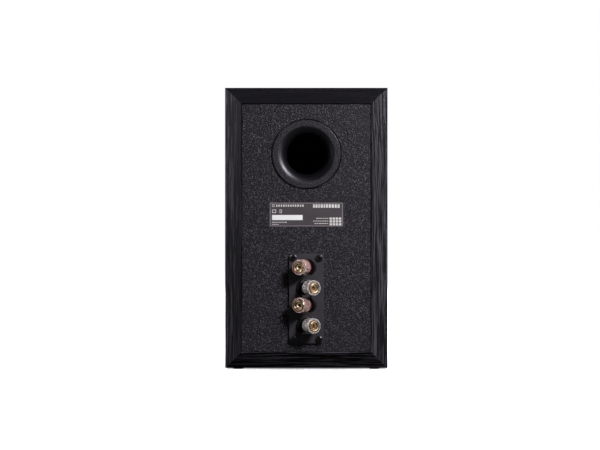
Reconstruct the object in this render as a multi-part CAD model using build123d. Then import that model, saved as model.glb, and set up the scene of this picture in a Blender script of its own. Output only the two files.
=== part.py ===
from build123d import *
import math
import os

# Two-way bookshelf loudspeaker with a rear port and four binding posts.
# Row frame in millimetres: +Z up, front facing -Y, connectors facing +Y. The origin
# is on the supporting surface, in the middle of the overall width and depth.

# ---- cabinet ----
CAB_W = 180.0
CAB_H = 310.5
CAB_D = 250.0
WALL = 15.0
BAFFLE_T = 18.0
BAFFLE_CHAMFER = 6.0
REAR_BEVEL = 19.0
REAR_PANEL_T = 15.0
REAR_RECESS = 0.8
REAR_GAP = 0.6
LEDGE_W = 8.0
LEDGE_T = 12.0
EDGE_BREAK = 0.5
FOOT_H = 1.5
FOOT_R = 6.0
FOOT_INSET = 14.0

# ---- brace and damping material ----
BRACE_T = 12.0
BRACE_DROP = 118.0
BRACE_RIM = 24.0
BRACE_BACK_GAP = 6.0
LINING_T = 8.0
LINING_MARGIN = 4.0

# ---- reflex port ----
PORT_DROP = 74.25
PORT_R = 22.0
PORT_WALL = 2.5
PORT_FLARE = 11.0
PORT_FLANGE_LAND = 5.0
PORT_PROUD = 0.4
PORT_SPIGOT = 40.0
PORT_LENGTH = 140.0
PORT_INNER_FLARE = 7.0
PORT_SOCKET = 12.0
PORT_GROOVE = 0.9

# ---- rating label ----
LABEL_W = 81.5
LABEL_H = 27.1
LABEL_T = 0.25
LABEL_R = 1.6
LABEL_DROP = 66.25

# ---- terminal plate ----
PLATE_W = 38.0
PLATE_H = 98.5
PLATE_T = 2.0
PLATE_R = 3.0
PLATE_Z = 79.2
GASKET_T = 0.5
GASKET_INSET = 0.8
SCREW_DX = 28.2
SCREW_DZ = 89.0
SCREW_HEAD_R = 4.0
SCREW_HEAD_H = 2.2
SCREW_R = 1.7
SCREW_LENGTH = 14.0
WELL_WALL = 1.5
WELL_FLOOR = 3.0
CUTOUT_R = 9.5

# ---- binding posts ----
POST_TILT = 25.0
POST_PAIR_PITCH = 22.4
POST_MIDDLE_PITCH = 19.0
POST_GROUP_DZ = 2.6
POST_LEANS = (1, -1, 1, -1)
COLLAR_R = 10.0
COLLAR_DEPTH = 5.0
COLLAR_STEP_R = 8.8
COLLAR_STEP_H = 1.4
SHAFT_R = 3.5
SHAFT_END = 18.5
SHAFT_TAIL = 16.0
SHAFT_FLANGE_R = 5.6
SHAFT_FLANGE_T = 0.8
SOCKET_R = 2.0
SOCKET_LENGTH = 12.5
WIRE_HOLE_R = 1.5
WIRE_GAP = 3.3
RING_T = 1.4
RING_R = 8.5
KNOB_TOP = 19.5
SLEEVE_R = 8.6
SLEEVE_CHAMFER = 0.8
FLUTES = 16
FLUTE_R = 1.3
FLUTE_DEPTH = 0.4
NUT_WALL = 1.9
NUT_NECK_WALL = 1.1
NUT_MOUTH = 0.9
NUT_CAP_WALL = 3.1
NUT_CAP_T = 1.4
NUT_CAP_EDGE = 0.3
NUT_GROOVE = 0.3
WASHER_T = 1.0
WASHER_R = 6.4
TAG_T = 0.8
TAG_R = 5.4
TAG_WIDTH = 4.0
TAG_REACH = 11.0
HEX_NUT_AF = 10.0
HEX_NUT_T = 3.5
RUNNING_GAP = 0.05
PART_GAP = 0.1
MOVING_GAP = 0.35

# ---- woofer ----
WOOFER_Z = 101.5
WOOFER_FLANGE_W = 11.0
WOOFER_FRAME_T = 5.0
WOOFER_LEDGE = 4.0
WOOFER_SHELL = 2.0
SPIDER_SEAT_R = 44.0
SPIDER_DEPTH = 34.0
SPIDER_WAVES = 5
SPIDER_RIPPLE = 1.2
BASKET_DEPTH = 45.0
BASKET_WINDOWS = 6
CONE_R = 50.0
CONE_T = 0.7
CONE_RIM = 3.2
CONE_NECK = 25.0
DUST_CAP_R = 16.5
DUST_CAP_H = 5.0
SURROUND_ROLL_R = 4.8
SURROUND_T = 0.8
SURROUND_LIP = 2.4
COIL_R = 12.9
COIL_FORMER_T = 0.2
COIL_WIRE_T = 0.45
COIL_LENGTH = 11.0
COIL_GAP = 0.4
TOP_PLATE_R = 42.0
TOP_PLATE_T = 6.0
MAGNET_R = 45.0
MAGNET_T = 15.0
MAGNET_BORE_R = 20.0
YOKE_T = 6.0
TRIM_WIDTH = 5.0
TRIM_PROUD = 2.0
WOOFER_SCREW_EDGE = 6.0
WOOFER_SCREWS = 6
DRIVER_SCREW_HEAD_R = 3.8
DRIVER_SCREW_HEAD_H = 2.4
DRIVER_SCREW_R = 1.9
DRIVER_SCREW_LENGTH = 15.0
HEX_KEY_AF = 3.0
FRAME_GAP = 0.3
TAG_STRIP_W = 22.0

# ---- tweeter ----
TWEETER_DROP = 74.0
FACEPLATE_R = 50.0
FACEPLATE_T = 4.5
WAVEGUIDE_R = 32.0
WAVEGUIDE_DEPTH = 3.2
DOME_R = 12.5
DOME_H = 4.6
DOME_ROLL_R = 15.8
DOME_BASE = 5.2
DOME_T = 0.3
TWEETER_BODY_R = 35.0
TWEETER_SPACER = 2.4
TWEETER_TOP_T = 3.0
TWEETER_MAGNET_T = 12.0
TWEETER_YOKE_T = 4.0
TWEETER_SCREW_PCD = 86.0
TWEETER_SCREWS = 4
TWEETER_COIL_T = 0.25

# ---- crossover ----
BOARD_W = 90.0
BOARD_L = 120.0
BOARD_T = 1.6
BOARD_BACK_GAP = 5.0
STANDOFF_H = 6.0
STANDOFF_R = 3.5
STANDOFF_INSET = 5.0
LEAD_R = 1.0
LEAD_LIFT = 0.7
LEAD_PITCH = 7.0
LEAD_LANES = (2, 3, 1, 0)

# ---- values that follow from the driving dimensions ----
COS_TILT = math.cos(math.radians(POST_TILT))
SIN_TILT = math.sin(math.radians(POST_TILT))
KNOB_REACH = KNOB_TOP * COS_TILT + (SLEEVE_R - SLEEVE_CHAMFER) * SIN_TILT
PLATE_FACE = GASKET_T + PLATE_T
TOP_Z = FOOT_H + CAB_H
TWEETER_Z = TOP_Z - TWEETER_DROP
PORT_Z = TOP_Z - PORT_DROP
PORT_FLANGE_R = PORT_R + PORT_FLARE + PORT_FLANGE_LAND
LABEL_Z = PORT_Z - LABEL_DROP
BRACE_Z = TOP_Z - BRACE_DROP - BRACE_T
WOOFER_THROAT_R = CONE_R + 2 * SURROUND_ROLL_R + SURROUND_LIP
WOOFER_FRAME_R = WOOFER_THROAT_R + WOOFER_FLANGE_W
WOOFER_SCREW_PCD = 2 * (WOOFER_FRAME_R - WOOFER_SCREW_EDGE)
NUT_NECK_R = SHAFT_R + NUT_NECK_WALL
NUT_R = SHAFT_R + NUT_WALL
NUT_CAP_R = SHAFT_R + NUT_CAP_WALL
OVERALL_DEPTH = TRIM_PROUD + CAB_D - REAR_RECESS + PLATE_FACE + KNOB_REACH
FRONT_Y = TRIM_PROUD - OVERALL_DEPTH / 2
BAFFLE_BACK_Y = FRONT_Y + BAFFLE_T
REAR_Y = FRONT_Y + CAB_D
PANEL_FACE_Y = REAR_Y - REAR_RECESS
PANEL_BACK_Y = PANEL_FACE_Y - REAR_PANEL_T
PLATE_FACE_Y = PANEL_FACE_Y + PLATE_FACE
CAB_MID_Z = FOOT_H + CAB_H / 2
FLOOR_Z = FOOT_H + WALL
CEILING_Z = TOP_Z - WALL
INNER_W = CAB_W - 2 * WALL
PANEL_W = CAB_W - 2 * (REAR_BEVEL + REAR_GAP)
PANEL_H = CAB_H - 2 * (REAR_BEVEL + REAR_GAP)
WELL_R = COLLAR_R + WELL_WALL
CUTOUT_W = 2 * (WELL_R * COS_TILT + (COLLAR_DEPTH + WELL_FLOOR) * SIN_TILT + PART_GAP)
RING_U = COLLAR_STEP_H + SHAFT_FLANGE_T + WIRE_GAP
SLEEVE_U = RING_U + RING_T + PART_GAP
BOARD_Z = FLOOR_Z + STANDOFF_H
BOARD_TOP_Z = BOARD_Z + BOARD_T
LEDGE_FRONT_Y = PANEL_BACK_Y - LEDGE_T - (REAR_BEVEL + LEDGE_W - WALL)
BOARD_Y = LEDGE_FRONT_Y - BOARD_BACK_GAP - BOARD_L


def post_heights():
    """Heights of the four posts, from the top one down."""
    middle = PLATE_Z + POST_GROUP_DZ
    near = POST_MIDDLE_PITCH / 2
    far = near + POST_PAIR_PITCH
    return (middle + far, middle + near, middle - near, middle - far)


def front_plane(z):
    """Plane on the baffle's front face: local z runs back into the cabinet."""
    return Plane(origin=(0, FRONT_Y, z), x_dir=(-1, 0, 0), z_dir=(0, 1, 0))


def rear_plane(z):
    """Plane on the rear panel's outer face: local z points out of the cabinet."""
    return Plane(origin=(0, PANEL_FACE_Y, z), x_dir=(-1, 0, 0), z_dir=(0, 1, 0))


def post_plane(index):
    """Plane of one post: local z is the post's axis, from the plate's face outwards."""
    lean = POST_LEANS[index]
    return Plane(
        origin=(0, PLATE_FACE_Y, post_heights()[index]),
        x_dir=(0, 0, 1),
        z_dir=(lean * SIN_TILT, COS_TILT, 0),
    )


def turned(*outline):
    """Solid turned about local z from an outline of (radius, z) points."""
    return revolve(Plane.XZ * make_face(Polyline(*outline, close=True)), Axis.Z)


def turned_curve(curve):
    """Solid turned about local z from a closed curve in (radius, z)."""
    return revolve(Plane.XZ * make_face(curve), Axis.Z)


def tube(outer, inner, low, high):
    """Plain ring between two heights."""
    return turned((inner, low), (outer, low), (outer, high), (inner, high))


def rod(radius, low, high):
    """Plain cylinder between two heights on local z."""
    return Pos(0, 0, low) * Cylinder(radius, high - low, align=(Align.CENTER, Align.CENTER, Align.MIN))


def block(low, high):
    """Box between two corners."""
    size = [b - a for a, b in zip(low, high)]
    centre = [(a + b) / 2 for a, b in zip(low, high)]
    return Pos(*centre) * Box(*size)


def group(shapes):
    """Separate solids of one node."""
    return Compound(children=list(shapes))


# ---- cabinet ----

def wall_panel(length, origin, x_dir):
    """Mitred wall: its section holds the rear bevel and the ledge for the rear panel."""
    depth = CAB_D - BAFFLE_T
    seat = depth - REAR_RECESS - REAR_PANEL_T
    inner = REAR_BEVEL + LEDGE_W
    section = Polyline(
        (0, 0),
        (0, depth - REAR_BEVEL),
        (REAR_BEVEL, depth),
        (REAR_BEVEL, seat),
        (inner, seat),
        (inner, seat - LEDGE_T),
        (WALL, seat - LEDGE_T - (inner - WALL)),
        (WALL, 0),
        close=True,
    )
    face = make_face(section)
    shoulder = [v for v in face.vertices() if v.X < 1 and v.Y > 1]
    rim = [v for v in face.vertices() if v.Y > depth - 1]
    face = fillet(shoulder + rim, EDGE_BREAK)
    bar = extrude(Plane.YZ * face, length / 2, both=True)
    half = length / 2
    mitre = Polyline((-half, 0), (half, 0), (half - inner, inner), (inner - half, inner), close=True)
    panel = bar & extrude(make_face(mitre), depth)
    return Plane(origin=origin, x_dir=x_dir, z_dir=(0, 1, 0)) * panel


def cabinet_walls():
    side = CAB_W / 2
    return {
        "top_panel": wall_panel(CAB_W, (0, BAFFLE_BACK_Y, TOP_Z), (1, 0, 0)),
        "bottom_panel": wall_panel(CAB_W, (0, BAFFLE_BACK_Y, FOOT_H), (-1, 0, 0)),
        "left_side_panel": wall_panel(CAB_H, (-side, BAFFLE_BACK_Y, CAB_MID_Z), (0, 0, 1)),
        "right_side_panel": wall_panel(CAB_H, (side, BAFFLE_BACK_Y, CAB_MID_Z), (0, 0, -1)),
    }


def screw_circle(count, pcd, turn=0.0):
    """Centres of a ring of screws, as (x, y) in a driver's plane."""
    angles = [math.radians(turn + 360.0 * k / count) for k in range(count)]
    return [(pcd / 2 * math.cos(a), pcd / 2 * math.sin(a)) for a in angles]


def woofer_screw_places():
    return screw_circle(WOOFER_SCREWS, WOOFER_SCREW_PCD, 90.0)


def tweeter_screw_places():
    return screw_circle(TWEETER_SCREWS, TWEETER_SCREW_PCD, 45.0)


def front_baffle():
    board = Pos(0, FRONT_Y + BAFFLE_T / 2, CAB_MID_Z) * Box(CAB_W, BAFFLE_T, CAB_H)
    board = chamfer(board.faces().sort_by(Axis.Y)[0].edges(), BAFFLE_CHAMFER)
    woofer = rod(WOOFER_FRAME_R + FRAME_GAP, -1, WOOFER_FRAME_T)
    woofer += rod(WOOFER_THROAT_R + WOOFER_SHELL + FRAME_GAP, -1, BAFFLE_T + 1)
    for x, y in woofer_screw_places():
        woofer += Pos(x, y) * rod(DRIVER_SCREW_R + PART_GAP, 0, BAFFLE_T - 1)
    tweeter = rod(FACEPLATE_R + FRAME_GAP, -1, FACEPLATE_T)
    tweeter += rod(TWEETER_BODY_R + 2 * FRAME_GAP, -1, BAFFLE_T + 1)
    for x, y in tweeter_screw_places():
        tweeter += Pos(x, y) * rod(DRIVER_SCREW_R + PART_GAP, 0, BAFFLE_T - 1)
    return board - front_plane(WOOFER_Z) * woofer - front_plane(TWEETER_Z) * tweeter


def terminal_cutout(low, high):
    """Round-cornered opening that the moulded wells pass through."""
    reach = POST_MIDDLE_PITCH / 2 + POST_PAIR_PITCH + WELL_R + 4 * PART_GAP
    opening = RectangleRounded(CUTOUT_W, 2 * reach, CUTOUT_R)
    return Pos(0, POST_GROUP_DZ, low) * extrude(opening, high - low)


def screw_places():
    return [(sx * SCREW_DX / 2, sz * SCREW_DZ / 2) for sx in (-1, 1) for sz in (-1, 1)]


def rear_panel():
    panel = block(
        (-PANEL_W / 2, PANEL_BACK_Y, CAB_MID_Z - PANEL_H / 2),
        (PANEL_W / 2, PANEL_FACE_Y, CAB_MID_Z + PANEL_H / 2),
    )
    seat = PORT_PROUD - PORT_WALL
    port = rod(PORT_FLANGE_R + PORT_GROOVE, seat, 1)
    port += rod(PORT_FLANGE_R - PORT_WALL, -REAR_PANEL_T - 1, seat)
    holes = terminal_cutout(-REAR_PANEL_T - 1, 1)
    for x, z in screw_places():
        holes += Pos(x, z) * rod(SCREW_R + PART_GAP, -SCREW_LENGTH, 1)
    return panel - rear_plane(PORT_Z) * port - rear_plane(PLATE_Z) * holes


def cabinet_brace():
    """Window brace glued between the walls, above the woofer."""
    back = LEDGE_FRONT_Y - BRACE_BACK_GAP
    plate = block((-INNER_W / 2, BAFFLE_BACK_Y, BRACE_Z), (INNER_W / 2, back, BRACE_Z + BRACE_T))
    length = back - BAFFLE_BACK_Y
    window = RectangleRounded(INNER_W - 2 * BRACE_RIM, length - 2 * BRACE_RIM, BRACE_RIM / 2)
    cut = extrude(window, BRACE_T + 2)
    return plate - Pos(0, (back + BAFFLE_BACK_Y) / 2, BRACE_Z - 1) * cut


def acoustic_lining():
    """Damping pads glued to the side walls below and above the brace, and to the top."""
    low_y = BAFFLE_BACK_Y + LINING_MARGIN
    high_y = LEDGE_FRONT_Y - BRACE_BACK_GAP
    inner = INNER_W / 2
    levels = (
        (FLOOR_Z + LINING_MARGIN, BRACE_Z - LINING_MARGIN),
        (BRACE_Z + BRACE_T + LINING_MARGIN, CEILING_Z - LINING_T - LINING_MARGIN),
    )
    pads = []
    for low_z, high_z in levels:
        pads.append(block((inner - LINING_T, low_y, low_z), (inner, high_y, high_z)))
        pads.append(block((-inner, low_y, low_z), (LINING_T - inner, high_y, high_z)))
    edge = inner - LINING_MARGIN
    pads.append(block((-edge, low_y, CEILING_Z - LINING_T), (edge, high_y, CEILING_Z)))
    return group(pads)


def rubber_feet():
    pads = []
    for sx in (-1, 1):
        for y in (FRONT_Y + BAFFLE_T + FOOT_INSET, REAR_Y - REAR_BEVEL - FOOT_INSET):
            foot = rod(FOOT_R, 0, FOOT_H)
            foot = chamfer(foot.faces().sort_by(Axis.Z)[0].edges(), FOOT_H / 5)
            pads.append(Pos(sx * (CAB_W / 2 - FOOT_INSET), y, 0) * foot)
    return group(pads)


# ---- reflex port ----

def port_flange():
    """Flared mouth, let into the rear panel, with the spigot that carries the tube."""
    top = PORT_PROUD
    outer = PORT_R + PORT_FLARE
    centre = (outer, top - PORT_FLARE)
    back = -PORT_SPIGOT
    under = top - PORT_WALL
    curve = Polyline((outer, top), (PORT_FLANGE_R, top), (PORT_FLANGE_R, under), (outer, under))
    curve += CenterArc(centre, PORT_FLARE - PORT_WALL, 90, 90)
    curve += Polyline(
        (PORT_R + PORT_WALL, top - PORT_FLARE),
        (PORT_R + PORT_WALL, back),
        (PORT_R, back),
        (PORT_R, top - PORT_FLARE),
    )
    curve += CenterArc(centre, PORT_FLARE, 90, 90)
    body = turned_curve(curve)
    rim = body.edges().filter_by(GeomType.CIRCLE).group_by(Axis.Z)[-1].sort_by(SortBy.RADIUS)[-1]
    return rear_plane(PORT_Z) * fillet(rim, PORT_WALL / 4)


def port_tube():
    """Duct pushed onto the mouth's spigot, flared at its inner end."""
    socket_r = PORT_R + PORT_WALL + PART_GAP
    shoulder = -PORT_SPIGOT
    end = PORT_PROUD - PORT_LENGTH
    centre = (PORT_R + PORT_INNER_FLARE, end + PORT_INNER_FLARE)
    curve = Polyline(
        (PORT_R, end + PORT_INNER_FLARE),
        (PORT_R, shoulder),
        (socket_r, shoulder),
        (socket_r, shoulder + PORT_SOCKET),
        (socket_r + PORT_WALL, shoulder + PORT_SOCKET),
        (socket_r + PORT_WALL, shoulder - PORT_WALL),
        (PORT_R + PORT_WALL, shoulder - 2 * PORT_WALL),
        (PORT_R + PORT_WALL, end + PORT_INNER_FLARE),
    )
    curve += CenterArc(centre, PORT_INNER_FLARE - PORT_WALL, 180, 90)
    curve += Line((centre[0], end + PORT_WALL), (centre[0], end))
    curve += CenterArc(centre, PORT_INNER_FLARE, 180, 90)
    return rear_plane(PORT_Z) * turned_curve(curve)


def rating_label():
    plate = extrude(RectangleRounded(LABEL_W, LABEL_H, LABEL_R), LABEL_T)
    return rear_plane(LABEL_Z) * plate


# ---- terminal plate ----

def collar_shape(radius, half_height, low, high):
    """Cylinder with a flat above and below, where the middle two posts meet."""
    height = high - low
    flats = Pos(0, 0, low) * extrude(Rectangle(2 * half_height, 4 * radius), height)
    return rod(radius, low, high) & flats


def terminal_plate():
    flange = extrude(RectangleRounded(PLATE_W, PLATE_H, PLATE_R), PLATE_T)
    flange = fillet(flange.faces().sort_by(Axis.Z)[-1].edges(), PLATE_T / 4)
    plate = rear_plane(PLATE_Z) * (Pos(0, 0, GASKET_T) * flange)
    bottom = COLLAR_DEPTH + WELL_FLOOR
    below = rear_plane(PLATE_Z) * block((-PLATE_W, -PLATE_H, -3 * bottom), (PLATE_W, PLATE_H, PLATE_FACE))
    flat = POST_MIDDLE_PITCH / 2 + PART_GAP
    for k in range(len(POST_LEANS)):
        plate += post_plane(k) * rod(WELL_R, -bottom, bottom) & below
    for k in range(len(POST_LEANS)):
        plate -= post_plane(k) * collar_shape(COLLAR_R + PART_GAP, flat, -COLLAR_DEPTH, KNOB_TOP)
        plate -= post_plane(k) * rod(SHAFT_R + PART_GAP, -2 * bottom, 0)
    for x, z in screw_places():
        plate -= rear_plane(PLATE_Z) * (Pos(x, z) * rod(SCREW_R + PART_GAP, 0, PLATE_FACE + 1))
    return plate


def terminal_gasket():
    outline = RectangleRounded(PLATE_W - 2 * GASKET_INSET, PLATE_H - 2 * GASKET_INSET, PLATE_R - GASKET_INSET)
    sheet = extrude(outline, GASKET_T) - terminal_cutout(-1, 2)
    for x, z in screw_places():
        sheet -= Pos(x, z) * rod(SCREW_R + PART_GAP, -1, 1)
    return rear_plane(PLATE_Z) * sheet


def cross_recess(size, depth):
    """Cross recess cut down from z = 0."""
    arm = size / 5
    cross = Rectangle(size, arm) + Rectangle(arm, size)
    return Pos(0, 0, -depth) * extrude(cross, depth + 1)


def terminal_screws():
    """Pan-head screws that hold the terminal plate."""
    head = rod(SCREW_HEAD_R, 0, SCREW_HEAD_H)
    head = fillet(head.faces().sort_by(Axis.Z)[-1].edges(), SCREW_HEAD_H * 0.7)
    head -= Pos(0, 0, SCREW_HEAD_H) * cross_recess(SCREW_HEAD_R * 1.1, SCREW_HEAD_H * 0.6)
    screw = Pos(0, 0, PLATE_FACE) * head + rod(SCREW_R, 1 - SCREW_LENGTH, PLATE_FACE)
    return group([rear_plane(PLATE_Z) * (Pos(x, z) * screw) for x, z in screw_places()])


# ---- binding posts ----

def each_post(shape):
    """One copy of a shape on every post's axis."""
    return group([post_plane(k) * shape for k in range(len(POST_LEANS))])


def post_base_bushes():
    """Moulded collars that insulate the shafts, seated in the plate's wells."""
    flat = POST_MIDDLE_PITCH / 2 - 2 * PART_GAP
    bush = collar_shape(COLLAR_R, flat, -COLLAR_DEPTH, 0) + rod(COLLAR_STEP_R, 0, COLLAR_STEP_H)
    return each_post(bush - rod(SHAFT_R + RUNNING_GAP, -COLLAR_DEPTH - 1, COLLAR_STEP_H + 1))


def post_shafts():
    """Plated shafts with a banana socket in the end and a cross hole for bare wire."""
    flange_top = COLLAR_STEP_H + SHAFT_FLANGE_T
    lip = SOCKET_R * 0.2
    shaft = turned(
        (0, -SHAFT_TAIL),
        (SHAFT_R, -SHAFT_TAIL),
        (SHAFT_R, COLLAR_STEP_H),
        (SHAFT_FLANGE_R, COLLAR_STEP_H),
        (SHAFT_FLANGE_R, flange_top),
        (SHAFT_R, flange_top),
        (SHAFT_R, SHAFT_END - lip),
        (SHAFT_R - lip, SHAFT_END),
        (SOCKET_R + lip, SHAFT_END),
        (SOCKET_R, SHAFT_END - lip),
        (SOCKET_R, SHAFT_END - SOCKET_LENGTH),
        (0, SHAFT_END - SOCKET_LENGTH),
    )
    cross_u = flange_top + WIRE_GAP / 2
    cross = Pos(0, 0, cross_u) * Rot(90, 0, 0) * Cylinder(WIRE_HOLE_R, 4 * SHAFT_R)
    return each_post(shaft - cross)


def post_inner_stack():
    """Washer, solder tag and nut behind the plate on every post."""
    seat = -COLLAR_DEPTH - WELL_FLOOR
    washer = tube(WASHER_R, SHAFT_R + PART_GAP, seat - WASHER_T, seat)
    tag_top = seat - WASHER_T
    tag = tube(TAG_R, SHAFT_R + PART_GAP, tag_top - TAG_T, tag_top)
    wide = TAG_WIDTH / 2
    tag += block((-wide, SHAFT_R + 1, tag_top - TAG_T), (wide, WASHER_R + TAG_T, tag_top))
    tag += block((-wide, WASHER_R, tag_top - TAG_REACH), (wide, WASHER_R + TAG_T, tag_top))
    nut_top = tag_top - TAG_T
    hexagon = RegularPolygon(HEX_NUT_AF / 2, 6, major_radius=False)
    nut = Pos(0, 0, nut_top - HEX_NUT_T) * extrude(hexagon, HEX_NUT_T)
    nut -= rod(SHAFT_R + RUNNING_GAP, nut_top - HEX_NUT_T - 1, nut_top + 1)
    tags = []
    for k, lean in enumerate(POST_LEANS):
        tags.append(post_plane(k) * (Rot(0, 0, 90 - 90 * lean) * tag))
    return {
        "post_insulating_washers": each_post(washer),
        "post_solder_tags": group(tags),
        "post_hex_nuts": each_post(nut),
    }


def colour_ring():
    """Coloured ring that shows the polarity and is carried up and down by the knob."""
    return tube(RING_R, NUT_NECK_R + PART_GAP, RING_U, RING_U + RING_T)


def knob_nut():
    """Plated brass nut inside the knob."""
    bore = SHAFT_R + RUNNING_GAP
    mouth = bore + NUT_MOUTH
    groove = (mouth + NUT_CAP_R - NUT_CAP_EDGE) / 2
    return turned(
        (bore, RING_U + PART_GAP),
        (NUT_NECK_R, RING_U + PART_GAP),
        (NUT_NECK_R, SLEEVE_U),
        (NUT_R, SLEEVE_U),
        (NUT_R, KNOB_TOP - NUT_CAP_T),
        (NUT_CAP_R, KNOB_TOP - NUT_CAP_T),
        (NUT_CAP_R, KNOB_TOP - NUT_CAP_EDGE),
        (NUT_CAP_R - NUT_CAP_EDGE, KNOB_TOP),
        (groove + NUT_GROOVE, KNOB_TOP),
        (groove, KNOB_TOP - NUT_GROOVE),
        (groove - NUT_GROOVE, KNOB_TOP),
        (mouth, KNOB_TOP),
        (bore, KNOB_TOP - NUT_MOUTH),
    )


def knob_sleeve():
    """Clear fluted grip moulded round the nut."""
    body = turned(
        (NUT_R + RUNNING_GAP, SLEEVE_U),
        (SLEEVE_R, SLEEVE_U),
        (SLEEVE_R, KNOB_TOP - SLEEVE_CHAMFER),
        (SLEEVE_R - SLEEVE_CHAMFER, KNOB_TOP),
        (NUT_CAP_R + RUNNING_GAP, KNOB_TOP),
        (NUT_CAP_R + RUNNING_GAP, KNOB_TOP - NUT_CAP_T - RUNNING_GAP),
        (NUT_R + RUNNING_GAP, KNOB_TOP - NUT_CAP_T - RUNNING_GAP),
    )
    centre = SLEEVE_R + FLUTE_R - FLUTE_DEPTH
    for place in PolarLocations(centre, FLUTES):
        body -= place * rod(FLUTE_R, SLEEVE_U - 1, KNOB_TOP + 1)
    return body


def knobs():
    """The three moving pieces of each post."""
    nodes = {}
    for k in range(len(POST_LEANS)):
        name = f"post_{k + 1}"
        nodes[name + "_colour_ring"] = post_plane(k) * colour_ring()
        nodes[name + "_nut"] = post_plane(k) * knob_nut()
        nodes[name + "_sleeve"] = post_plane(k) * knob_sleeve()
    return nodes


# ---- woofer ----

def driver_screw():
    """Socket-head screw, its head's top at z = 0 and its shank running back."""
    screw = rod(DRIVER_SCREW_HEAD_R, 0, DRIVER_SCREW_HEAD_H) + rod(DRIVER_SCREW_R, 0, DRIVER_SCREW_LENGTH)
    key = extrude(RegularPolygon(HEX_KEY_AF / 2, 6, major_radius=False), DRIVER_SCREW_HEAD_H * 0.7)
    return screw - key


def counterbore():
    """Hole for one driver screw in a frame."""
    head = rod(DRIVER_SCREW_HEAD_R + PART_GAP, -1, DRIVER_SCREW_HEAD_H)
    return head + rod(DRIVER_SCREW_R + PART_GAP, -1, 9)


def woofer_basket():
    throat = WOOFER_THROAT_R
    shell = WOOFER_SHELL
    seat = SPIDER_SEAT_R
    lip = WOOFER_LEDGE
    basket = turned(
        (throat, 0),
        (WOOFER_FRAME_R, 0),
        (WOOFER_FRAME_R, WOOFER_FRAME_T),
        (throat + shell, WOOFER_FRAME_T),
        (throat + shell, lip + shell + 2),
        (seat + 2 * shell, SPIDER_DEPTH),
        (seat + 2 * shell, SPIDER_DEPTH + shell),
        (seat, SPIDER_DEPTH + shell),
        (seat, BASKET_DEPTH),
        (MAGNET_BORE_R, BASKET_DEPTH),
        (MAGNET_BORE_R, BASKET_DEPTH - shell),
        (seat - shell, BASKET_DEPTH - shell),
        (seat - shell, SPIDER_DEPTH + shell),
        (seat - 3 * shell, SPIDER_DEPTH + shell),
        (seat - 3 * shell, SPIDER_DEPTH),
        (seat, SPIDER_DEPTH),
        (throat - 1, lip + shell + 2),
        (CONE_R + 2 * SURROUND_ROLL_R - shell, lip + shell),
        (CONE_R + 2 * SURROUND_ROLL_R - shell, lip),
        (throat, lip),
    )
    window_low = lip + 3 * shell
    window_high = SPIDER_DEPTH - 3 * shell
    arc = 2 * math.pi * SPIDER_SEAT_R / BASKET_WINDOWS
    window = extrude(RectangleRounded(arc * 0.72, window_high - window_low, shell), throat)
    window = Plane(origin=(0, 0, (window_low + window_high) / 2), x_dir=(0, 1, 0), z_dir=(1, 0, 0)) * window
    for k in range(BASKET_WINDOWS):
        basket -= Rot(0, 0, (k + 0.5) * 360 / BASKET_WINDOWS) * (Pos(SPIDER_SEAT_R * 0.8, 0, 0) * window)
    for x, y in woofer_screw_places():
        basket -= Pos(x, y) * counterbore()
    return basket


def woofer_trim_ring():
    """Bright ring that covers the surround's edge."""
    inner = CONE_R + 2 * SURROUND_ROLL_R + FRAME_GAP
    outer = inner + TRIM_WIDTH
    foot = WOOFER_LEDGE - SURROUND_T
    ring = turned(
        (inner, foot),
        (inner, 0.6 - TRIM_PROUD),
        (inner + 0.6, -TRIM_PROUD),
        (outer - TRIM_PROUD, -TRIM_PROUD),
        (outer, 0),
        (WOOFER_THROAT_R - PART_GAP, 0),
        (WOOFER_THROAT_R - PART_GAP, foot),
    )
    return ring


def woofer_surround():
    """Half-roll rubber edge from the cone to the basket."""
    mid_r = CONE_R + SURROUND_ROLL_R
    seat = WOOFER_LEDGE - SURROUND_T
    outer_r = WOOFER_THROAT_R - PART_GAP
    inner_r = CONE_R - 2.5
    centre = (mid_r, seat)
    curve = Line((inner_r, seat), (mid_r - SURROUND_ROLL_R + SURROUND_T, seat))
    curve += CenterArc(centre, SURROUND_ROLL_R - SURROUND_T, 180, 180)
    arch_end = mid_r + SURROUND_ROLL_R - SURROUND_T
    curve += Line((arch_end, seat), (arch_end, WOOFER_LEDGE))
    curve += Line((arch_end, WOOFER_LEDGE), (outer_r, WOOFER_LEDGE))
    curve += Line((outer_r, WOOFER_LEDGE), (outer_r, seat))
    curve += Line((outer_r, seat), (mid_r + SURROUND_ROLL_R, seat))
    curve += CenterArc(centre, SURROUND_ROLL_R, 180, 180)
    curve += Line((mid_r - SURROUND_ROLL_R, seat), (mid_r - SURROUND_ROLL_R, seat - SURROUND_T))
    curve += Line((mid_r - SURROUND_ROLL_R, seat - SURROUND_T), (inner_r, seat - SURROUND_T))
    curve += Line((inner_r, seat - SURROUND_T), (inner_r, seat))
    return turned_curve(curve)


def woofer_spider():
    """Corrugated centring disc between the coil former and its seat in the basket."""
    inner = COIL_R + 2 * MOVING_GAP
    waves_end = SPIDER_SEAT_R - 3 * WOOFER_SHELL - 1
    front = SPIDER_DEPTH - CONE_T
    step = (waves_end - inner) / (2 * SPIDER_WAVES)
    top = [(inner, front)]
    for k in range(2 * SPIDER_WAVES):
        top.append((inner + (k + 0.5) * step, front + SPIDER_RIPPLE * (-1) ** k))
    top.append((waves_end, front))
    top.append((SPIDER_SEAT_R - FRAME_GAP, front))
    bottom = [(r, z + CONE_T) for r, z in reversed(top)]
    return turned(*top, *bottom)


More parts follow.
